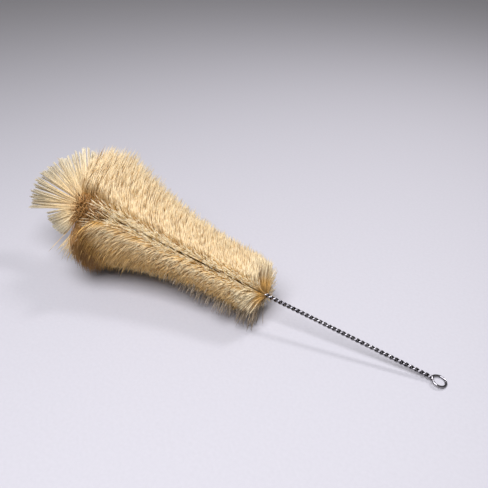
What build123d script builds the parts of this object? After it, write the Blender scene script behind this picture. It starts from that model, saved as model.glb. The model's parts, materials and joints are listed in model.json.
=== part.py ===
"""Bottle brush: one doubled, twisted steel wire that grips side bristles and a fan of tip bristles.

The brush lies at rest on the floor, z = 0, on its eye and on its widest bristles. +X points to the eye.
All lengths are in millimetres and all angles in degrees, unless a function says otherwise.
"""

from build123d import *
import math
import os

os.makedirs("parts", exist_ok=True)

# Wire: one length, bent round a pin to make the eye, its two legs twisted left-handed
wire_diameter = 1.4
twist_pitch = 6.2
clamp_gap = 0.1
handle_length = 108.5
eye_inner_diameter = 7.2
neck_heading = 75.0
eye_steps = 10

# Side bristles: one bunch for each half turn of the twist, each bunch a ring of pointed clumps
brush_length = 146.0
handle_bristle_length = 22.0
tip_bristle_length = 43.5
bunch_gap = 0.3
bunch_clearance = 0.05
bunch_root_radius = 3.0
bunch_turn = 137.5
clump_count = 18
clump_shares = (1.0, 0.94, 0.98, 0.91)
clump_valley_share = 0.6
flare_start_share = 0.2
flare_end_share = 0.88
flare_power = 1.8
lean_start_share = 0.75
tip_lean = 5.0
open_side = 42.0
parting_half_angle = 36.0
tip_opening_half_angle = 75.0
tip_opening_start_share = 0.82
parted_share = 0.3
upper_reach_share = 0.16
upper_reach_end_share = 0.85
side_shift_share = 0.053
seat_sides = 6
floor_squash = 2.0

# Tip bristles: a flat fan of pointed clumps with one parting, its root closed round the wire's cut ends
fan_length = 45.0
fan_thickness = 5.0
fan_root_radius = 4.0
fan_seat_depth = 2.5
fan_clearance = 0.05
fan_upper_angles = (68.0, -26.0)
fan_upper_count = 20
fan_lower_angles = (-36.0, -84.0)
fan_lower_count = 11
fan_clump_shares = (1.0, 0.93, 0.98)
fan_lower_share = 0.66
fan_valley_share = 0.7
fan_parting_share = 0.2

# Sizes that follow from the wire
wire_radius = wire_diameter / 2
lay_radius = wire_radius + clamp_gap / 2
stem_radius = lay_radius + wire_radius
stem_length = handle_length + brush_length + fan_seat_depth
bunch_pitch = twist_pitch / 2
lay_angle = math.atan(2 * math.pi * lay_radius / twist_pitch)
wire_end = wire_radius * math.sin(lay_angle)

# The eye: from the twist each leg bends outwards to the heading at which it joins the ring
ring_radius = eye_inner_diameter / 2 + wire_radius
heading = math.radians(neck_heading)
neck_angle = math.pi / 2 - heading
neck_bend = ring_radius * math.sin(neck_angle) / (math.cos(lay_angle) - math.cos(heading))
neck_length = neck_bend * (math.sin(heading) - math.sin(lay_angle))
ring_centre = neck_length + ring_radius * math.cos(neck_angle)
eye_reach = ring_centre + ring_radius

# How it lies: the far side of the eye and the widest bunch, squashed a little, both meet the floor
widest_reach = eye_reach + handle_length + flare_end_share * brush_length
floor_drop = math.asin((floor_squash + wire_radius) / math.hypot(widest_reach, tip_bristle_length))
rise = math.atan2(tip_bristle_length, widest_reach) - floor_drop
towards_tip = Vector(-math.cos(rise), 0, math.sin(rise))
underside = Vector(-math.sin(rise), 0, -math.cos(rise))

# The stem's own plane: its origin is where the twist begins at the eye, its z runs along the wire.
# The bristles above the parting reach further, and the side shift centres the box over the origin.
neck_height = wire_radius + eye_reach * math.sin(rise)
neck_x = ((stem_length + fan_length - eye_reach) * math.cos(rise) - wire_radius) / 2
side_shift = -side_shift_share * tip_bristle_length
stem = Plane(origin=(neck_x, side_shift, neck_height), x_dir=underside, z_dir=towards_tip)
stem_axis = Axis(stem.origin, stem.z_dir)


def polar(radius, angle):
    """A point of a flat outline at a radius and an angle in degrees."""
    return (radius * math.cos(math.radians(angle)), radius * math.sin(math.radians(angle)))


# Twisted wire: a circle swept along both legs and along the eye that joins them
def point_on_eye(share):
    """A point of the eye, from the first leg at share 0 round to the second at share 1."""
    turn = (math.pi - neck_angle) * (1 - 2 * share)
    across = -ring_radius * math.sin(turn)
    back = -ring_centre - ring_radius * math.cos(turn)
    return stem.from_local_coords((lay_radius * math.cos(math.pi * share), across, back))


def leg_turn(turn):
    """One turn of the first leg, counted from the eye. The last one ends with the stem."""
    start = turn * twist_pitch
    height = min(twist_pitch, stem_length - start)
    with BuildLine() as line:
        Helix(twist_pitch, height, lay_radius, stem.origin + towards_tip * start, towards_tip, lefthand=True)
    return line.edge()


first_leg = [leg_turn(turn) for turn in range(math.ceil(stem_length / twist_pitch))]
second_leg = [span.rotate(stem_axis, 180) for span in first_leg]
with BuildLine() as eye:
    eye_points = [point_on_eye(step / eye_steps) for step in range(eye_steps + 1)]
    Spline(
        [first_leg[0] @ 0, *eye_points, second_leg[0] @ 0],
        tangents=[-(first_leg[0] % 0), second_leg[0] % 0],
    )

wire_path = Wire([*reversed(first_leg), eye.edge(), *second_leg])
with BuildPart() as twisted_wire:
    with BuildSketch(Plane(wire_path @ 0, z_dir=wire_path % 0)):
        Circle(wire_radius)
    sweep(path=wire_path, is_frenet=True, clean=False)

twisted_wire.part.label = "twisted_wire"
export_step(twisted_wire.part, "parts/twisted_wire.step")


# Side bristles: as many bunches as the brush has half turns, in one group
def bristle_length(share):
    """Bristle length at a share of the brush: even beside the handle, then flaring to the tip."""
    flare = (share - flare_start_share) / (flare_end_share - flare_start_share)
    flare = min(max(flare, 0), 1)
    return handle_bristle_length + (tip_bristle_length - handle_bristle_length) * flare**flare_power


def bunch_lean(share):
    """How far the bristles lean towards the tip, in radians, at a share of the brush."""
    return math.radians(tip_lean) * max(share - lean_start_share, 0) / (1 - lean_start_share)


def from_parting(angle):
    """The angle of a clump from the middle of the open side, positive above it."""
    return (angle + open_side) % 360 - 180


def kept_share(angle, share):
    """How much of its length a clump keeps: the open side is parted, and more so towards the tip."""
    late = max(share - tip_opening_start_share, 0) / (1 - tip_opening_start_share)
    half_angle = parting_half_angle + (tip_opening_half_angle - parting_half_angle) * late
    return parted_share + (1 - parted_share) * min(abs(from_parting(angle)) / half_angle, 1) ** 2


def upper_reach(angle, share):
    """How much further the clumps above the parting reach, along the flare and not at its ends."""
    flank = min(share / flare_start_share, (1 - share) / (1 - upper_reach_end_share), 1)
    return 1 + upper_reach_share * flank * max(math.sin(math.radians(from_parting(angle))), 0) ** 2


def clump_ring(length, turn, share):
    """The outline of one bunch: the points of its clumps with the valleys between them."""
    step = 360 / clump_count
    points = []
    for clump in range(clump_count):
        angle = turn + clump * step
        between = angle + step / 2
        reach = length * clump_shares[clump % len(clump_shares)] * upper_reach(angle, share)
        valley = length * clump_valley_share * upper_reach(between, share)
        points.append(polar(reach * kept_share(angle, share), angle))
        points.append(polar(valley * kept_share(between, share), between))
    return points


def root_ring(turn):
    """The outline of a bunch at the wire, with a corner for each corner of its clump ring."""
    step = 180 / clump_count
    return [polar(bunch_root_radius, turn + corner * step) for corner in range(2 * clump_count)]


def bunch(index):
    """One half turn's bunch of side bristles, seated round the twist and trimmed by the floor."""
    middle = (index + 0.5) * bunch_pitch
    share = middle / brush_length
    half_root = (bunch_pitch - bunch_gap) / 2
    length = bristle_length(share)
    lean = bunch_lean(share)
    turn = index * bunch_turn
    centre = stem.offset(handle_length + middle)
    with BuildPart() as ring:
        with BuildSketch(centre.offset(-half_root)):
            Polygon(*root_ring(turn), align=None)
        with BuildSketch(centre.offset(length * math.sin(lean))):
            Polygon(*clump_ring(length * math.cos(lean), turn, share), align=None)
        with BuildSketch(centre.offset(half_root)):
            Polygon(*root_ring(turn), align=None)
        loft(ruled=True)
        with BuildSketch(centre):
            RegularPolygon(stem_radius + bunch_clearance, seat_sides, major_radius=False)
        extrude(amount=half_root, both=True, mode=Mode.SUBTRACT)
        split(bisect_by=Plane.XY, keep=Keep.TOP)
    return ring.part


bunch_count = math.floor(brush_length / bunch_pitch)
side_bristles = Compound([bunch(index) for index in range(bunch_count)])

side_bristles.label = "side_bristles"
export_step(side_bristles, "parts/side_bristles.step")


# Tip fan: a flat tuft along the stem, facing the open side, round the cut ends of the wire
def fan_group(angles, count, length):
    """The corners of one group of clumps as angle and radius, with a valley between neighbours."""
    first, last = angles
    step = (last - first) / (count - 1)
    corners = []
    for clump in range(count):
        reach = length * fan_clump_shares[clump % len(fan_clump_shares)]
        corners.append((first + clump * step, reach))
        corners.append((first + (clump + 0.5) * step, reach * fan_valley_share))
    return corners[:-1]


upper_corners = fan_group(fan_upper_angles, fan_upper_count, fan_length)
lower_corners = fan_group(fan_lower_angles, fan_lower_count, fan_length * fan_lower_share)
parting = ((fan_upper_angles[1] + fan_lower_angles[0]) / 2, fan_length * fan_parting_share)
fan_corners = [*upper_corners, parting, *lower_corners]
fan_back = [(-fan_seat_depth, -fan_root_radius), (-fan_seat_depth, fan_root_radius)]
fan_rim = [polar(radius, angle) for angle, radius in fan_corners] + fan_back
fan_root = [polar(fan_root_radius, angle) for angle, radius in fan_corners] + fan_back

roll = math.radians(open_side)
fan_across = Vector(0, 1, 0) * math.cos(roll) - underside * math.sin(roll)
fan_centre = stem.origin + towards_tip * stem_length
fan_plane = Plane(origin=fan_centre, x_dir=towards_tip, z_dir=towards_tip.cross(fan_across))
with BuildPart() as tip_fan:
    with BuildSketch(fan_plane.offset(-fan_thickness / 2)):
        Polygon(*fan_root, align=None)
    with BuildSketch(fan_plane):
        Polygon(*fan_rim, align=None)
    with BuildSketch(fan_plane.offset(fan_thickness / 2)):
        Polygon(*fan_root, align=None)
    loft(ruled=True)
    with BuildSketch(stem.offset(stem_length - fan_seat_depth)):
        Circle(stem_radius + fan_clearance)
    extrude(amount=fan_seat_depth + wire_end + fan_clearance, mode=Mode.SUBTRACT)

tip_fan.part.label = "tip_fan"
export_step(tip_fan.part, "parts/tip_fan.step")
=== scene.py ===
# %% [markdown]
# # A bottle brush
# The brush is one doubled, twisted steel wire that grips bristles along its side and a flat fan of bristles
# at its tip. The frame brings the wire ready made, and plain stand-in solids for the bristles. This lesson
# keeps the wire and gives it a finish, and puts real bristles in the place of the stand-ins.

# %% Load the frame
import bpy
import json
import math
import numpy as np
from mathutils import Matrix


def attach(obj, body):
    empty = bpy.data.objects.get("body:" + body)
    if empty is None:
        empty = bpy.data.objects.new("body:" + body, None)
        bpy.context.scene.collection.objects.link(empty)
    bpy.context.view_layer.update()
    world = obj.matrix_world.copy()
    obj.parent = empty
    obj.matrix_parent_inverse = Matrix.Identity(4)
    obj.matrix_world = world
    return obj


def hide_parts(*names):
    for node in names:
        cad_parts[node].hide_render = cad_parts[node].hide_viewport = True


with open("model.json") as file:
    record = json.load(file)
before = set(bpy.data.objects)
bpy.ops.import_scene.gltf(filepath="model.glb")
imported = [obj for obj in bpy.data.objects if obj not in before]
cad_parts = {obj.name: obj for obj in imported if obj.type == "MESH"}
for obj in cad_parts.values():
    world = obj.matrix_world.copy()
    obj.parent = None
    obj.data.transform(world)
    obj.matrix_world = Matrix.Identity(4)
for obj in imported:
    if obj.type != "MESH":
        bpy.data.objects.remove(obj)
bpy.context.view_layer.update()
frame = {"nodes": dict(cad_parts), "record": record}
print("nodes of the frame:", sorted(frame["nodes"]))

# %% [markdown]
# ## The line of the stem
# Every bristle is gripped by the twist, so everything here is placed from the line of the stem. The record
# gives the middle of the hanging eye and the direction square to it, and the stem runs from there in the
# plane of the eye. The bristles are parted on one side, and that open side gives two more directions: one out
# of the parting, and one across it, in the plane of the fan.

# %% Stem, open side and the direction across it
mm = 0.001
eye_to_bristles = 113.4 * mm
brush_length = 146.0 * mm
wire_past_bristles = 2.5 * mm
twist_pitch = 6.2 * mm
open_side = math.radians(42)

eye_mount = frame["record"]["mounts"][0]
eye_centre = np.array(eye_mount["pos_m"])
stem_top = np.array(eye_mount["axis"])
sideways = np.array([0.0, 1.0, 0.0])
towards_tip = np.cross(stem_top, sideways)
brush_start = eye_centre + towards_tip * eye_to_bristles
wire_end = brush_start + towards_tip * (brush_length + wire_past_bristles)
out_of_parting = stem_top * math.cos(open_side) - sideways * math.sin(open_side)
across_parting = stem_top * math.sin(open_side) + sideways * math.cos(open_side)
print("stem rises", round(math.degrees(math.asin(towards_tip[2])), 1), "degrees")

# %% [markdown]
# ## Colours and nodes
# Colours are written as the hex values a designer would pick on a screen. Blender mixes light in linear
# values, so one function turns a hex value to linear. A second small function adds a shader node, sets its
# sockets and links it, and a third starts an empty material. They keep each finish short enough to read.


# %% Helpers for materials
def linear(hex_colour):
    """Turns a screen colour such as #C8A060 to linear red, green, blue and alpha."""
    values = [int(hex_colour[place:place + 2], 16) / 255 for place in (1, 3, 5)]
    return [v / 12.92 if v <= 0.04045 else ((v + 0.055) / 1.055) ** 2.4 for v in values] + [1.0]


def add_node(tree, kind, settings=None, **links):
    """Adds a node, sets its properties and sockets, and links named sockets to other nodes' outputs."""
    node = tree.nodes.new(kind)
    for name, value in (settings or {}).items():
        if name in node.inputs:
            node.inputs[name].default_value = value
        else:
            setattr(node, name, value)
    for name, output in links.items():
        tree.links.new(output, node.inputs[name.replace("_", " ")])
    return node


def new_material(name):
    """An empty node material, with its output node."""
    material = bpy.data.materials.new(name)
    material.use_nodes = True
    material.node_tree.nodes.clear()
    return material, add_node(material.node_tree, "ShaderNodeOutputMaterial")


print("mid grey in linear light:", round(linear("#808080")[0], 3))

# %% [markdown]
# ## Bright drawn steel
# The wire is steel that was pulled through a die and left bright. Each leg of the twist is a small round
# mirror, so the eye sees sharp white and dark streaks, and in them the fine lines that the die leaves along
# the wire. The lines are drawn about 0.4 mm apart, coarser than real ones, so that they show. Handling has
# dulled the steel in patches. Its tones are drawn darker than bright steel, as a painted reflection of dark
# surroundings, and the groove between the two legs is darkened nearly to black as painted shade. A painted
# line would have to follow the twist, so a node that measures how enclosed each point is finds the groove
# instead.

# %% Steel finish on the wire of the frame
die_line_spacing = 0.4 * mm
die_line_depth = 0.02 * mm
die_line_stretch = (0.06, 1.0, 1.0)
dull_patch = 9 * mm
groove_width = 1.2 * mm

steel, steel_out = new_material("bright_drawn_steel")
tree = steel.node_tree
place = add_node(tree, "ShaderNodeTexCoord")
stretch = add_node(tree, "ShaderNodeMapping", {"Scale": die_line_stretch}, Vector=place.outputs["Object"])
die_lines = add_node(
    tree, "ShaderNodeTexNoise", {"Scale": 1 / die_line_spacing, "Detail": 4.0},
    Vector=stretch.outputs["Vector"],
)
dullness = add_node(
    tree, "ShaderNodeTexNoise", {"Scale": 1 / dull_patch, "Detail": 3.0}, Vector=place.outputs["Object"],
)
# Painted reflection: both tones are darker than bright steel, for dark surroundings; the patches are wear
tone = add_node(tree, "ShaderNodeValToRGB", Fac=dullness.outputs["Fac"])
dull, bright = tone.color_ramp.elements
dull.position, dull.color = 0.3, linear("#77757A")
bright.position, bright.color = 0.7, linear("#B2B0B2")
# Painted shade: where a point is enclosed, in the groove between the legs, the colour goes nearly black
groove = add_node(
    tree, "ShaderNodeAmbientOcclusion", {"Distance": groove_width, "only_local": True, "samples": 8},
)
unshaded_part = add_node(
    tree, "ShaderNodeMapRange", {"From Min": 0.45, "From Max": 0.95}, Value=groove.outputs["AO"],
)
groove_painted_shade = add_node(
    tree, "ShaderNodeMix", {"data_type": "RGBA", "A": linear("#1E1C1B")},
    Factor=unshaded_part.outputs["Result"], B=tone.outputs["Color"],
)
rough = add_node(tree, "ShaderNodeMapRange", {"To Min": 0.08, "To Max": 0.2}, Value=die_lines.outputs["Fac"])
relief = add_node(
    tree, "ShaderNodeBump", {"Strength": 0.08, "Distance": die_line_depth}, Height=die_lines.outputs["Fac"],
)
shader = add_node(
    tree, "ShaderNodeBsdfPrincipled", {"Metallic": 1.0},
    Base_Color=groove_painted_shade.outputs["Result"], Roughness=rough.outputs["Result"], Normal=relief.outputs["Normal"],
)
tree.links.new(shader.outputs["BSDF"], steel_out.inputs["Surface"])
wire = frame["nodes"]["twisted_wire"]
wire.data.materials.clear()
wire.data.materials.append(steel)
print("steel on", wire.name, "with", len(wire.data.polygons), "faces")

# %% [markdown]
# ## Natural bristle
# The bristles are boar's hair: golden at the roots, cream along their length, and pale at the thin tips. Each
# one differs a little, and some are darker. A pattern in space could not follow single hairs, so two
# attributes of the mesh carry this: one runs from 0 at the root to 1 at the tip, and on some bristles is
# scaled as painted light and shade, and one is a number of the bristle's own, raised under the tip as painted
# shade. Hair is keratin under fine scales, so it is half rough with a little warm sheen. The scales are too
# fine to show, and are drawn as patches of 0.8 mm.

# %% Bristle finish
scale_patch = 0.8 * mm
keratin_ior = 1.55
roughness_spread = 0.1
middle_place = 0.55
dark_from = 0.78
dark_strength = 0.75
sheen = {"Sheen Weight": 0.18, "Sheen Roughness": 0.35, "Sheen Tint": linear("#F2CF90")}


def bristle_material(name, root, middle, tip, dark, roughness):
    """A bristle that changes from root to tip, with some darker ones among them and painted shade added."""
    material, out = new_material(name)
    tree = material.node_tree
    along = add_node(tree, "ShaderNodeAttribute", {"attribute_name": "root_to_tip_with_painted_light"})
    own = add_node(tree, "ShaderNodeAttribute", {"attribute_name": "own_tone_and_painted_shade"})
    length_colour = add_node(tree, "ShaderNodeValToRGB", Fac=along.outputs["Fac"])
    stops = length_colour.color_ramp.elements
    stops[0].color = linear(root)
    stops[1].color = linear(tip)
    stops.new(middle_place).color = linear(middle)
    darkness = add_node(tree, "ShaderNodeValToRGB", Fac=own.outputs["Fac"])
    darkness.color_ramp.elements[0].position = dark_from
    darkness.color_ramp.elements[0].color = (0, 0, 0, 1)
    darkness.color_ramp.elements[1].color = (dark_strength, dark_strength, dark_strength, 1)
    blend = add_node(
        tree, "ShaderNodeMix", {"data_type": "RGBA", "B": linear(dark)},
        Factor=darkness.outputs["Color"], A=length_colour.outputs["Color"],
    )
    place = add_node(tree, "ShaderNodeTexCoord")
    scales = add_node(tree, "ShaderNodeTexNoise", {"Scale": 1 / scale_patch}, Vector=place.outputs["Object"])
    rough = add_node(
        tree, "ShaderNodeMapRange",
        {"To Min": roughness - roughness_spread, "To Max": roughness + roughness_spread},
        Value=scales.outputs["Fac"],
    )
    shader = add_node(
        tree, "ShaderNodeBsdfPrincipled", {**sheen, "IOR": keratin_ior},
        Base_Color=blend.outputs["Result"], Roughness=rough.outputs["Result"],
    )
    tree.links.new(shader.outputs["BSDF"], out.inputs["Surface"])
    return material


# Cream hair over golden roots: the soft, warm body of the brush
side_hair = bristle_material("cream_boar_bristle_side", "#D4A45E", "#E8BA66", "#F3E1B8", "#8A5C26", 0.5)
# Stiff hair cut square: paler and a little glossier, so that the fan shows as strands
tip_hair = bristle_material("cream_boar_bristle_tip", "#E4BA72", "#FAE4B4", "#FFF5D8", "#94744A", 0.38)
# Hair painted pale from the root on, as painted light: it lifts the shaded bed beside the parting
seam_hair_painted_light = bristle_material("cream_boar_bristle_seam_painted_light", "#F0C478", "#FFE2A2", "#FFF3D0", "#B88A48", 0.5)
# Dark hair: strands below the rest, dark partly of their own and partly as painted shade of the lower edge
loose_hair_and_painted_shade = bristle_material("dark_boar_bristle_loose_and_painted_shade", "#7A5F3C", "#8C7A5E", "#A89A86", "#4A3E32", 0.5)
# Brown hair, darkened further as painted shade: the shaded hollow at the root of the fan
end_hair_and_painted_shade = bristle_material("brown_boar_bristle_end_and_painted_shade", "#64380E", "#94601F", "#C89A5A", "#3A2008", 0.5)
print("bristle finishes:", [hair.name for hair in (side_hair, tip_hair, seam_hair_painted_light, loose_hair_and_painted_shade, end_hair_and_painted_shade)])

# %% [markdown]
# ## One bristle
# A bristle is repeated tens of thousands of times, so it has as few faces as it can. It starts as a cone with
# three sides. Cuts across it make rings, each ring is scaled to the hair's real taper, and the rings let the
# copy bend. The fan's bristles are cut square, so their cone keeps a flat end.

# %% Model a bristle with operators
side_rings = [(0.3, 1.0), (0.6, 0.9), (0.86, 0.7)]
side_radius = 0.12 * mm
usual_thickness, thin_thickness = (0.8, 1.15), (0.8, 1.1)


def model_bristle(name, end_share, rings):
    """One straight bristle, 1 long and of radius 1 at its root, with rings as place and radius."""
    bpy.ops.object.select_all(action="DESELECT")
    bpy.ops.mesh.primitive_cone_add(vertices=3, radius1=1, radius2=end_share, depth=1, location=(0, 0, 0.5))
    bristle = bpy.context.object
    bristle.name = name
    bpy.ops.object.transform_apply(location=True, rotation=False, scale=False)
    bpy.ops.object.mode_set(mode="EDIT")
    for place, radius in rings:
        swell = radius / (1 - (1 - end_share) * place)
        bpy.ops.mesh.select_all(action="SELECT")
        bpy.ops.mesh.bisect(plane_co=(0, 0, place), plane_no=(0, 0, 1))
        bpy.ops.transform.resize(value=(swell, swell, 1))
    bpy.ops.object.mode_set(mode="OBJECT")
    corners = np.array([corner.co for corner in bristle.data.vertices])
    faces = [list(face.vertices) for face in bristle.data.polygons]
    bpy.data.objects.remove(bristle)
    print(name, "has", len(corners), "corners and", len(faces), "faces")
    return corners, faces


side_bristle = model_bristle("side_bristle", end_share=0.0, rings=side_rings)

# %% [markdown]
# ## Copies along curves
# Each copy is bent along its own curve, from its root over a bend point to its end, the way a hair leaves the
# wire and is then pulled round by its neighbours. Doing this for all the copies at once in arrays takes about
# a second, where one operator for each hair would take hours.


# %% Bend the copies
def bend_copies(corners, curves, radii, beside, chance):
    """Corners of all the copies: each follows its own curve and is turned round it by chance."""
    roots, bends, ends = (points[:, None] for points in curves)
    share = corners[None, :, 2, None]
    places = (1 - share) ** 2 * roots + 2 * share * (1 - share) * bends
    places = places + share**2 * ends
    run = (1 - share) * (bends - roots) + share * (ends - bends)
    run /= np.linalg.norm(run, axis=2, keepdims=True)
    side = np.cross(run, beside)
    side /= np.linalg.norm(side, axis=2, keepdims=True)
    lift = np.cross(run, side)
    spin = chance.uniform(0, 2 * math.pi, (len(radii), 1))
    out = corners[None, :, 0] * np.cos(spin) - corners[None, :, 1] * np.sin(spin)
    up = corners[None, :, 0] * np.sin(spin) + corners[None, :, 1] * np.cos(spin)
    return places + radii[:, None, None] * (out[..., None] * side + up[..., None] * lift)


print("a side bristle bends at", len(side_rings), "rings")

# %% [markdown]
# The copies of one piece go into one mesh, which rides on the frame and takes the place of a stand-in. The
# two attributes are written here: a tone of painted light and shade says how pale a bristle gets along its
# length, and how much darker than chance makes it.

# %% Join the copies to a piece
side_kind = (side_bristle, "side_bristle", "side_bristles")
plain_tone = (1.0, 0.0)


def lay_bristles(name, kind, curves, radii, tone, beside, chance, material):
    """One piece of many bristles. Its kind is a bristle, a slot that is not used, and the node that it
    replaces.
    """
    (corners, faces), slot, node = kind
    count = len(radii)
    places = bend_copies(corners, curves, radii, beside, chance)
    all_faces = [[index + copy * len(corners) for index in face] for copy in range(count) for face in faces]
    mesh = bpy.data.meshes.new(name)
    mesh.from_pydata(places.reshape(-1, 3).tolist(), [], all_faces)
    mesh.polygons.foreach_set("use_smooth", [True] * len(mesh.polygons))
    # Painted light and shade: paleness scales the root-to-tip number, darkness raises the bristle's own
    paleness, darkness = (np.broadcast_to(value, count) for value in tone)
    along = mesh.attributes.new("root_to_tip_with_painted_light", "FLOAT", "POINT")
    along.data.foreach_set("value", np.outer(paleness, corners[:, 2]).ravel().astype(np.float32))
    own = mesh.attributes.new("own_tone_and_painted_shade", "FLOAT", "POINT")
    own_tone_and_painted_shade = chance.uniform(0, 1, count) + darkness
    own.data.foreach_set("value", np.repeat(own_tone_and_painted_shade, len(corners)).astype(np.float32))
    mesh.materials.append(material)
    piece = bpy.data.objects.new(name, mesh)
    bpy.context.collection.objects.link(piece)
    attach(piece, "root")
    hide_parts(node)
    triangles = sum(len(face) - 2 for face in faces) * count
    print(name, "has", count, "bristles and", triangles, "triangles")


print("side bristles take slot", side_kind[1], "and replace node", side_kind[2])

# %% [markdown]
# ## How the side bristles lie
# A bristle is placed by its share of the brush, from 0 beside the handle to 1 at the tip, and by its angle
# round the stem, from the middle of the open side, positive above it. Two soft steps say where something
# holds: a ramp along the brush, and a bell round the stem.


# %% Ramps, bells and directions
def ramp(value, start, span):
    """Rises from 0 at the start to 1 a span later."""
    return np.clip((value - start) / span, 0, 1)


def bell(angle, middle, width):
    """Is 1 at the middle angle and falls off to both sides, over a width in degrees."""
    return np.exp(-((angle - middle) / math.radians(width)) ** 2)


def stem_place(share):
    """Points on the middle of the stem at shares of the brush."""
    return brush_start + share[:, None] * brush_length * towards_tip


def outwards(angle):
    """Directions out of the stem, by their angle from the parting."""
    return np.cos(angle)[:, None] * out_of_parting + np.sin(angle)[:, None] * across_parting


def leaning(angle, lean):
    """Directions out of the stem that lean towards the tip."""
    return outwards(angle) * np.cos(lean)[:, None] + towards_tip * np.sin(lean)[:, None]


print("half way along, the stem is at", stem_place(np.array([0.5]))[0].round(3))

# %% [markdown]
# The bristles are short beside the handle and flare to the tip. On the open side they are parted by a thin
# seam, which close to the tip opens wide, but only below. Above the parting the bristles reach further than
# below it, and underneath, beside the handle, they reach least.

# %% Length, parting and reach along the brush
flare_start, flare_end, flare_power = 0.2, 0.88, 1.8
shortest_mm, longest_mm = 22.0, 43.5
seam_half_angle = 10
opening_start, opening_run = 0.8, 0.2
opening_above, opening_below = 8, 64
above_side, below_side, underside = np.radians([90, -80, -138])
gain_above, gain_at_tip = 0.15, 0.03
loss_below, loss_eased, loss_underneath = 0.22, 0.08, 0.35


def bristle_length(share):
    """Bristle length in metres at a share of the brush."""
    flare = ramp(share, flare_start, flare_end - flare_start) ** flare_power
    return (shortest_mm + (longest_mm - shortest_mm) * flare) * mm


def parting(share, side):
    """The angle that the parting opens to on one side, in radians: close to the tip it opens wide below."""
    late = ramp(share, opening_start, opening_run)
    return np.radians(seam_half_angle + np.where(side > 0, opening_above, opening_below) * late)


def side_reach(angle, share):
    """The share of its length that a bristle reaches, by its side of the brush."""
    before_tip = ramp(1 - share, 0, 0.15)
    above = bell(angle, above_side, 50) * ramp(share, -0.2, 0.5)
    below = bell(angle, below_side, 45)
    underneath = bell(angle, underside, 40) * (1 - ramp(share, 0, 0.08))
    longer = gain_at_tip + gain_above * before_tip
    shorter = (loss_below - loss_eased * ramp(share, 0.4, 0.3)) * before_tip - loss_eased * (1 - before_tip)
    return 1 + longer * above - shorter * below - loss_underneath * underneath


print("lengths in mm:", [round(float(value) / mm, 1) for value in bristle_length(np.linspace(0, 1, 6))])

# %% [markdown]
# ## Side bristles
# Hairs stick together in tufts, which gives the ragged outline its gaps. The tufts follow the twist: each
# half turn holds bristles to two sides, so the tufts go round with the wire. Each half turn and each tuft
# leans a little its own way, and those at both ends of the brush stand looser.

# %% Tufts along the twist
quarters = ("handle", "middle", "flare", "tip")
tufts_per_piece = 1720
tuft_cut = (0.95, 1.06)
tuft_turn = math.radians(10)
tuft_lean_spread, turn_lean_spread = 0.9, 1.2
looser_at_handle, looser_at_tip = 6, 3


def plan_tufts(first, last, chance):
    """Share, angle, length and lean of the tufts between two shares of the brush."""
    number = np.arange(tufts_per_piece)
    share = first + (last - first) * (number + chance.uniform(0, 1, tufts_per_piece)) / tufts_per_piece
    twist = -2 * math.pi * share * brush_length / twist_pitch + math.pi * (number % 2)
    angle = twist + chance.normal(0, tuft_turn, tufts_per_piece)
    length = bristle_length(share) * chance.uniform(*tuft_cut, tufts_per_piece)
    handle_end, tip_end = 1 - ramp(share, 0, 0.06), ramp(share, 0.9, 0.1)
    spread = tuft_lean_spread + looser_at_handle * handle_end + looser_at_tip * tip_end
    lean = np.radians(chance.normal(0, spread, tufts_per_piece))
    half_turn = (share * 2 * brush_length / twist_pitch).astype(int)
    turn_lean = np.radians(chance.normal(0, turn_lean_spread, half_turn.max() + 1))
    return share, angle, length, lean + turn_lean[half_turn]


print("tufts on the whole brush:", len(quarters) * tufts_per_piece)

# %% [markdown]
# Bristles are cut unevenly. Beside the parting they are shorter, a few stray out of the outline, and a few
# are broken off.

# %% Length of each side bristle
longest_cut, uneven_cut, evener_in_front = 1.02, 0.3, 0.14
front_width = 100
parted_share, parted_less_above, parted_more_below = 0.85, -0.15, 0.05
parted_width = math.radians(48)
late_start, late_run = 0.7, 0.3
stray_chance, stray_share = 0.1, (1.0, 1.08)
broken_chance, broken_share = 0.08, (0.5, 0.85)


def side_lengths(full_length, pushed, half, share, chance):
    """Lengths of the side bristles, by their angle and their share of the brush."""
    count = len(share)
    uneven = uneven_cut - evener_in_front * bell(pushed, 0, front_width)
    length = full_length * (longest_cut - uneven * chance.uniform(0, 1, count))
    clear = ramp(np.abs(pushed), half, parted_width)
    late = ramp(share, late_start, late_run)
    kept = parted_share + np.where(pushed > 0, parted_less_above, parted_more_below) * late
    length = length * side_reach(pushed, share) * (kept + (1 - kept) * clear)
    stray = chance.uniform(0, 1, count) < stray_chance
    length = np.where(stray, length * chance.uniform(*stray_share, count), length)
    broken = chance.uniform(0, 1, count) < broken_chance
    return np.where(broken, length * chance.uniform(*broken_share, count), length)


print("of a hundred,", round(100 * stray_chance), "stray and", round(100 * broken_chance), "are broken")

# %% [markdown]
# Beside the parting the bristles leave the wire towards the tip, as if combed. At the handle's end they splay
# towards the tip, and under the tip they lean back from the fan. Where the brush shades itself, light that
# has passed through the hair is warmer. The finish cannot scatter light inside a hair, so the tone of the
# lower bristles makes up for it as painted warm shade. Under the tip the tone also darkens them as painted
# shade, and beside the handle, where the end of the brush is in shade, it makes them paler as painted light.
# Leans are named in degrees.

# %% Lean and tone of each side bristle
leaving_lean, leaving_combed, combed_less_late = 8, 42, 0.8
ending_lean, ending_combed, ending_back, ending_over = 2, 24, 14, 2
splay_above, splay_below = 17, -10
# Painted light and shade in the tone: warm shade below, dark shade under the tip, light at the handle
painted_warm_shade_below, painted_warm_shade_under_tip, painted_dark_shade_under_tip, painted_light_at_handle = 0.28, 0.6, 0.95, 0.5


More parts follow.
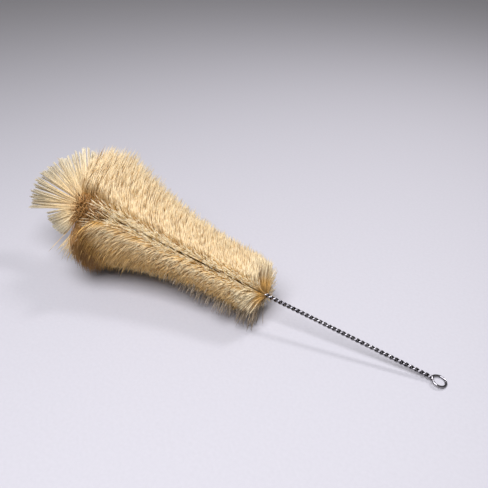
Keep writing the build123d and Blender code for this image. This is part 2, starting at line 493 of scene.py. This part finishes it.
def side_leans(upper, combed, share):
    """Lean towards the tip where a bristle leaves the wire and at its end, in radians."""
    late = ramp(share, late_start, late_run)
    leaving = leaving_lean + leaving_combed * combed * (1 - combed_less_late * late)
    handle_splay = np.where(upper > 0, splay_above, splay_below) * upper * (1 - share) ** 3
    combed_lean = ending_combed * combed * (1 - late) ** 2
    back_from_fan = ending_back * (1 - upper) * late
    over_fan = ending_over * np.maximum(upper, 0) * late**2
    ending = ending_lean + handle_splay + combed_lean - back_from_fan + over_fan
    return np.radians(leaving), np.radians(ending)


def side_painted_light(upper, share):
    """Painted light and shade: warm shade below, dark shade under the tip, light beside the handle."""
    below = ramp(-upper, 0.25, 0.6)
    under_tip = ramp(-upper, 0, 0.4) * ramp(share, 0.72, 0.15)
    near_handle = 1 - ramp(share, 0, 0.07)
    paleness = 1 - painted_warm_shade_below * below - painted_warm_shade_under_tip * under_tip + painted_light_at_handle * near_handle
    return paleness, painted_dark_shade_under_tip * under_tip


lowest_painted_light = [round(float(value), 2) for value in side_painted_light(np.float64(-1), np.float64(0.9))]
print("paleness and darkness under the tip:", lowest_painted_light)

# %% [markdown]
# The brush lies on its widest bristles, so those that would reach through the floor bend and lie on it. To
# simulate every hair would take far longer than this rule: such ends slide sideways, just above the floor.

# %% Bend bristles on the floor
floor_clear = 0.5 * mm
floor_layer = 1.5 * mm
floor_slide = 0.6


def bend_on_floor(bends, ends, chance):
    """Turns the bristles that would reach through the floor sideways, to lie on it, in place."""
    bent = np.maximum(floor_clear - ends[:, 2], 0)
    ends[:, 1] += np.sign(ends[:, 1]) * floor_slide * bent
    lying = floor_clear + chance.uniform(0, floor_layer, len(ends))
    ends[:, 2] = np.where(bent > 0, lying, ends[:, 2])
    bends[:, 2] = np.maximum(bends[:, 2], 2 * floor_clear)


print("ends lie", floor_clear / mm, "to", (floor_clear + floor_layer) / mm, "mm above the floor")

# %% [markdown]
# Each bristle is now set around its tuft and pushed out of the parting. In front the hairs stay apart, and
# behind their ends are drawn together to the end of the tuft. The brush is grown in quarters, so that no
# piece gets too heavy.

# %% Grow the side bristles
hairs_per_tuft = 5
tuft_width = math.radians(9)
tuft_depth = 0.7 * mm
last_share = 0.985
grip_radius = 0.9 * mm
bend_place = 0.45
end_scatter = 0.3 * mm
combed_width, behind_width = 55, 80
combed_first, combed_last = math.radians(6), math.radians(18)
parting_edge = (0.7, 1.0)
apart_behind, apart_in_front, drawn_together = 0.1, 0.6, 0.6
first_seed = 11


def grow_side(name, first, last, seed):
    """The side bristles between two shares of the brush."""
    chance = np.random.default_rng(seed)
    tuft_share, tuft_angle, tuft_length, tuft_lean = plan_tufts(first, last, chance)
    owner = np.repeat(np.arange(tufts_per_piece), hairs_per_tuft)
    count = len(owner)
    angle_off = chance.normal(0, tuft_width, count)
    share = np.abs(tuft_share[owner] + chance.normal(0, tuft_depth / brush_length, count))
    share = last_share - np.abs(last_share - share)
    angle = (tuft_angle[owner] + angle_off + math.pi) % (2 * math.pi) - math.pi
    side = np.sign(angle)
    half = parting(share, side) * chance.uniform(*parting_edge, count)
    pushed = side * (half + (math.pi - half) * np.abs(angle) / math.pi)
    upper = np.sin(pushed)
    combed = bell(np.abs(pushed), half, combed_width)
    front = bell(pushed, 0, front_width)
    length = side_lengths(tuft_length[owner], pushed, half, share, chance)
    first_lean, last_lean = side_leans(upper, combed, share)

    roots = stem_place(share) + outwards(angle) * grip_radius
    leaving = leaning(pushed - side * combed_first * combed, first_lean)
    bends = roots + leaving * (bend_place * length)[:, None]
    apart = apart_behind + apart_in_front * front
    end_share = tuft_share[owner] + apart * (share - tuft_share[owner])
    end_angle = pushed + side * combed_last * combed - drawn_together * (1 - front) * angle_off
    ends = stem_place(end_share) + leaning(end_angle, tuft_lean[owner] + last_lean) * length[:, None]
    ruffled = 1 + 2 * bell(np.abs(pushed), math.pi, behind_width)
    ends = ends + chance.normal(0, end_scatter, (count, 3)) * ruffled[:, None]
    bend_on_floor(bends, ends, chance)
    radii = side_radius * chance.uniform(*usual_thickness, count)
    # Painted light and shade for each bristle
    tone = side_painted_light(upper, share)
    lay_bristles(name, side_kind, (roots, bends, ends), radii, tone, towards_tip, chance, side_hair)


for index, quarter in enumerate(quarters):
    start, end = index / len(quarters), (index + 1) / len(quarters)
    grow_side("side_bristles_" + quarter, start, end, first_seed + index)

# %% [markdown]
# A few bristles hang loose below the rest: dark ones beside the handle, dark partly of their own and partly
# as painted shade of the shaded lower edge, and cream ones that straggle at the lower corner of the tip. They
# bend once and stand apart, so they are grown one by one, without tufts.

# %% Grow the loose bristles
loose_lower, loose_spread = 90, 15
loose_lean_spread = 6
loose_crowding = 1.2
loose_shortening_mm = 6
loose_sag = 3 * mm


def grow_loose(name, start, spread, lengths, mean_lean, material, count, seed):
    """Sparse bristles on the lower side, spread from a share of the brush on, with lengths in mm."""
    chance = np.random.default_rng(seed)
    share = start + spread * chance.uniform(0, 1, count) ** loose_crowding
    angle = -np.radians(chance.normal(loose_lower, loose_spread, count))
    length = (chance.uniform(*lengths, count) - loose_shortening_mm * np.abs(share - start)) * mm
    lean = np.radians(chance.normal(mean_lean, loose_lean_spread, count))
    roots = stem_place(share) + outwards(angle) * grip_radius
    ends = roots + leaning(angle, lean) * length[:, None]
    bends = (roots + ends) / 2 + towards_tip * chance.uniform(0, loose_sag, count)[:, None]
    bend_on_floor(bends, ends, chance)
    radii = side_radius * chance.uniform(*thin_thickness, count)
    lay_bristles(name, side_kind, (roots, bends, ends), radii, plain_tone, towards_tip, chance, material)


grow_loose(
    "side_bristles_loose", start=0.0, spread=0.55, lengths=(19, 27), mean_lean=-4,
    material=loose_hair_and_painted_shade, count=210, seed=16,
)
grow_loose(
    "side_bristles_straggling", start=last_share, spread=-0.1, lengths=(35, 42), mean_lean=0,
    material=side_hair, count=60, seed=18,
)

# %% [markdown]
# In the parting, bristles painted pale as painted light lie along the wire and all but fill it. They leave
# only a thin dark line where the wire shows. Before the fan, short brown bristles, darkened further as
# painted shade, cross the line and hide the end of the wire.

# %% Grow the bristles in the parting
seam_root_radius = 1.1 * mm
seam_root_angles = (2, 80)
seam_end_angle = 75
seam_bend_place = 0.5
seam_cut = (0.6, 1.2)
first_lean_spread, last_lean_spread = 10, 15


def grow_parting(name, first, last, reach_share, below, crossing, leans, material, count, seed):
    """Bristles on the open side, a part of them below the parting, between two shares of the brush."""
    chance = np.random.default_rng(seed)
    share = chance.uniform(first, last, count)
    length = reach_share * bristle_length(share) * chance.uniform(*seam_cut, count)
    side = np.where(chance.uniform(0, 1, count) < below, -1.0, 1.0)
    angle = side * np.radians(chance.uniform(*seam_root_angles, count))
    end_angle = side * np.radians(chance.uniform(-crossing, seam_end_angle, count))
    first_lean = np.radians(leans[0] + chance.uniform(-first_lean_spread, first_lean_spread, count))
    last_lean = np.radians(leans[1] + chance.uniform(-last_lean_spread, last_lean_spread, count))
    roots = stem_place(share) + outwards(angle) * seam_root_radius
    bends = roots + leaning(angle, first_lean) * (seam_bend_place * length)[:, None]
    ends = roots + leaning(end_angle, last_lean) * length[:, None]
    radii = side_radius * chance.uniform(*thin_thickness, count)
    lay_bristles(name, side_kind, (roots, bends, ends), radii, plain_tone, out_of_parting, chance, material)


grow_parting(
    "side_bristles_parting", first=0.0, last=0.77, reach_share=0.74, below=0.34, crossing=2, leans=(72, 42),
    material=seam_hair_painted_light, count=5200, seed=15,
)
grow_parting(
    "side_bristles_end", first=0.82, last=0.98, reach_share=0.4, below=0.7, crossing=35, leans=(40, 5),
    material=end_hair_and_painted_shade, count=1800, seed=17,
)

# %% [markdown]
# ## The fan
# The tip bristles stand straight out of the wire's cut end, flat like a hand fan and cut square. They stick
# together in narrow clumps with dark gaps between them. One wide gap parts the long upper group from the
# short lower one. The clumps come first, with angles in degrees from the line of the stem and lengths in mm,
# and each then gets its hairs.

# %% Clumps of the fan
upper_angles, upper_lengths = [68, 41, 10, -15, -26], [44, 43, 47, 47, 43]
lower_angles, lower_lengths = [-36, -60, -84], [31, 29, 26]
upper_clumps, lower_clumps = 42, 17
clump_turn = 0.6
clump_cut, hair_cut = (0.94, 1.0), 0.08


def plan_clumps(chance):
    """Angles and lengths of the fan's clumps, those of the upper group first."""
    upper = np.linspace(upper_angles[0], upper_angles[-1], upper_clumps)
    lower = np.linspace(lower_angles[0], lower_angles[-1], lower_clumps)
    upper_length = np.interp(-upper, np.negative(upper_angles), upper_lengths)
    lower_length = np.interp(-lower, np.negative(lower_angles), lower_lengths)
    angle = np.concatenate([upper, lower])
    angle = np.radians(angle + chance.uniform(-clump_turn, clump_turn, len(angle)))
    length = np.concatenate([upper_length, lower_length]) * mm
    return angle, length * chance.uniform(*clump_cut, len(length))


fan_bristle = model_bristle("fan_bristle", end_share=0.8, rings=[(0.5, 1.0)])

# %% [markdown]
# The hairs of a clump start together on one side of the wire's end and run side by side, so that each clump
# is one strand. A clump stands a little in front of the fan's plane or behind it, which lets light between
# the strands.

# %% Grow the fan
fan_kind = (fan_bristle, "tip_bristle", "tip_fan")
fan_radius = 0.17 * mm
hairs_per_clump = 32
clump_spreads = (0.25, 0.5)
clump_tilt_spread, hair_tilt_spread = 2.2, 1.1
fan_grip, fan_root_radius, fan_root_spread = 5 * mm, 1.6 * mm, 0.3
fan_end_scatter, fan_bend_scatter = 0.25 * mm, 0.2 * mm


def grow_fan(name, seed):
    """All the fan's bristles, clump by clump."""
    chance = np.random.default_rng(seed)
    clump_angle, clump_length = plan_clumps(chance)
    clumps = len(clump_angle)
    owner = np.repeat(np.arange(clumps), hairs_per_clump)
    count = len(owner)
    spread = chance.uniform(*clump_spreads, clumps)
    angle = clump_angle[owner] + np.radians(chance.normal(0, 1, count) * spread[owner])
    length = clump_length[owner] * (1 - hair_cut * chance.uniform(0, 1, count) ** 2)
    clump_tilt = chance.normal(0, clump_tilt_spread, clumps)
    tilt = np.radians(clump_tilt[owner] + chance.normal(0, hair_tilt_spread, count))
    in_plane = np.cos(angle)[:, None] * towards_tip + np.sin(angle)[:, None] * across_parting
    heading = in_plane * np.cos(tilt)[:, None] + out_of_parting * np.sin(tilt)[:, None]
    back = chance.uniform(0, fan_grip, count)
    around = chance.uniform(0, 2 * math.pi, clumps)[owner] + chance.normal(0, fan_root_spread, count)
    roots = wire_end - towards_tip * back[:, None] + outwards(around) * fan_root_radius
    ends = wire_end + heading * length[:, None] + chance.normal(0, fan_end_scatter, (count, 3))
    bends = (roots + ends) / 2 + chance.normal(0, fan_bend_scatter, (count, 3))
    radii = fan_radius * chance.uniform(*usual_thickness, count)
    lay_bristles(name, fan_kind, (roots, bends, ends), radii, plain_tone, out_of_parting, chance, tip_hair)


grow_fan("tip_fan_bristles", seed=21)

# %% [markdown]
# ## Floor, light and camera
# The brush lies on a plain pale floor of matt paper. Its grain is drawn 2 mm wide, coarser than real, so that
# the floor is not one flat colour.

# %% Floor
floor_size = 6
paper_grain = 2 * mm
bpy.ops.object.select_all(action="DESELECT")
bpy.ops.mesh.primitive_plane_add(size=floor_size, location=(0, 0, 0))
floor = bpy.context.object
floor.name = "floor"
paper, paper_out = new_material("matt_pale_paper")
tree = paper.node_tree
place = add_node(tree, "ShaderNodeTexCoord")
grain = add_node(tree, "ShaderNodeTexNoise", {"Scale": 1 / paper_grain}, Vector=place.outputs["Object"])
paper_tone = add_node(tree, "ShaderNodeValToRGB", Fac=grain.outputs["Fac"])
paper_tone.color_ramp.elements[0].color = linear("#BDBCC0")
paper_tone.color_ramp.elements[1].color = linear("#C5C4C8")
shader = add_node(
    tree, "ShaderNodeBsdfPrincipled", {"Roughness": 0.6}, Base_Color=paper_tone.outputs["Color"],
)
tree.links.new(shader.outputs["BSDF"], paper_out.inputs["Surface"])
floor.data.materials.append(paper)
print("floor lies at z =", floor.location.z)

# %% [markdown]
# A wide soft light hangs over the brush, a little to the camera's side, so that light gets into the parting.
# A small light behind the brush gives the wire its sharp streaks and the handle its shadow, and a dim world
# lifts the rest.


# %% Lights
def add_light(name, place, aim, size, power, colour):
    """A square soft light at a place, turned towards a point."""
    bpy.ops.object.light_add(type="AREA", location=place)
    lamp = bpy.context.object
    lamp.name = name
    lamp.data.size = size
    lamp.data.energy = power
    lamp.data.color = linear(colour)[:3]
    heading = np.array(aim) - np.array(place)
    flat = math.hypot(heading[0], heading[1])
    lamp.rotation_euler = (math.atan2(flat, -heading[2]), 0, math.atan2(-heading[0], heading[1]))


add_light("key_light", place=(0.15, 0.45, 0.6), aim=(0, 0, 0.03), size=0.12, power=1.7, colour="#FBF8FF")
add_light(
    "fill_light", place=(0.02, -0.28, 0.78), aim=(-0.04, 0, 0.03), size=0.6, power=9.1, colour="#F8F7FF",
)
world = bpy.data.worlds.new("studio")
bpy.context.scene.world = world
world.use_nodes = True
world.node_tree.nodes["Background"].inputs["Color"].default_value = linear("#DAD7D6")
world.node_tree.nodes["Background"].inputs["Strength"].default_value = 0.28
bpy.context.scene.view_settings.view_transform = "Standard"

# %% [markdown]
# The camera looks down on the brush from the handle's side. Its place is given from the middle of the eye. It
# was worked out from the turns of the twist, which are evenly spaced and so show distance and lens.

# %% Camera
image_size = 488
focal_pixels = 541.8
camera_offset = np.array([1.36, -236.87, 246.15]) * mm
camera_down, camera_turn = 35.55, 28.67
bpy.ops.object.camera_add(
    location=eye_centre + camera_offset,
    rotation=(math.radians(90 - camera_down), 0, math.radians(camera_turn)),
)
camera = bpy.context.object
camera.data.sensor_width = 36
camera.data.lens = camera.data.sensor_width * focal_pixels / image_size
camera.data.clip_start = 0.01
bpy.context.scene.camera = camera
print("lens in mm:", round(camera.data.lens, 1))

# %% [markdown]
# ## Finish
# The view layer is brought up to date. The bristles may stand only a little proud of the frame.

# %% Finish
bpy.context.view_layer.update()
